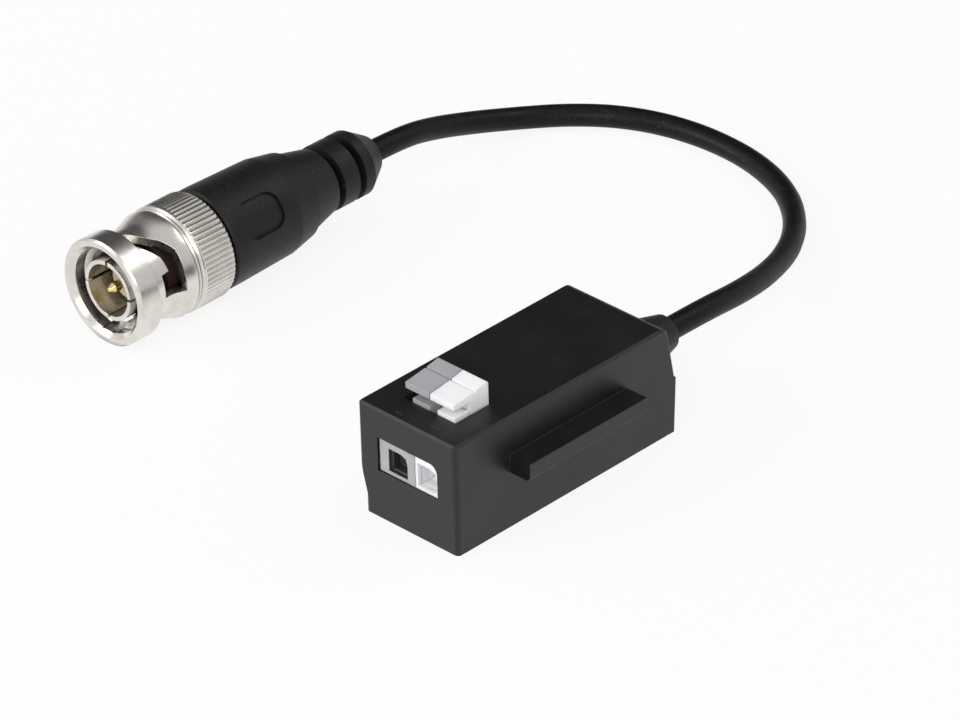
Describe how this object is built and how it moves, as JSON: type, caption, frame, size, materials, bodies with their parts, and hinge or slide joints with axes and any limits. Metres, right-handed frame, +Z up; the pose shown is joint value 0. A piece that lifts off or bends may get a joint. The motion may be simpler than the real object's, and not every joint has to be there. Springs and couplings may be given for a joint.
{
  "type": "video balun",
  "caption": "Pigtail video balun: black two-shell housing with a push-lever wire terminal in front and a short coaxial lead that ends in a bayonet plug.",
  "frame": {"origin": "middle of the housing's foot, on the surface that it rests on", "axes": "+Z up through the housing, -Y out of the terminal's window, +X towards the side rail"},
  "size_m": [0.0762, 0.0912, 0.0181],
  "materials": {
    "shell_black": "satin, lightly textured",
    "terminal_grey": "satin",
    "terminal_white": "satin",
    "board_green": "satin",
    "spring_steel": "bright",
    "tinned_brass": "tinned",
    "ferrite": "matt",
    "copper_wire": "enamelled",
    "component_black": "satin",
    "rubber_black": "satin",
    "cable_jacket": "gloss",
    "nickel": "nickel plated",
    "plug_insulator": "satin",
    "gold_pin": "gold flashed",
    "gasket_rubber": "matt"
  },
  "bodies": {
    "housing": {"upper_shell": "shell_black", "lower_shell": "shell_black", "terminal_body_grey": "terminal_grey", "terminal_body_white": "terminal_white", "circuit_board": "board_green", "clamp_spring_grey": "spring_steel", "clamp_spring_white": "spring_steel", "wave_washer": "spring_steel", "contact_bar_grey": "tinned_brass", "contact_bar_white": "tinned_brass", "toroid_core": "ferrite", "toroid_winding": "copper_wire", "inner_lead": "copper_wire", "shield_tail": "copper_wire", "surge_diodes": "component_black", "chip_parts": "component_black", "cable_grommet": "rubber_black", "plug_boot": "rubber_black", "video_cable": "cable_jacket", "plug_body": "nickel", "crimp_sleeve": "nickel", "plug_insulator": "plug_insulator", "centre_pin": "gold_pin", "sealing_gasket": "gasket_rubber"},
    "grey_lever": {"push_lever_grey": "terminal_grey"},
    "white_lever": {"push_lever_white": "terminal_white"},
    "coupling_nut": {"bayonet_nut": "nickel", "retaining_ring": "spring_steel"}
  },
  "joints": [
    {"name": "lever_grey_press", "type": "slide", "parent": "housing", "child": "grey_lever", "axis": [0, 0, -1], "range_m": [0, 0.0008], "stiffness_N_per_m": 3000, "deforming": ["clamp_spring_grey"]},
    {"name": "lever_white_press", "type": "slide", "parent": "housing", "child": "white_lever", "axis": [0, 0, -1], "range_m": [0, 0.0008], "stiffness_N_per_m": 3000, "deforming": ["clamp_spring_white"]},
    {"name": "nut_turn", "type": "hinge", "parent": "housing", "child": "coupling_nut", "pos_m": [-0.05775, -0.01204, 0.00715], "axis": [0, 1, 0], "continuous": true}
  ]
}
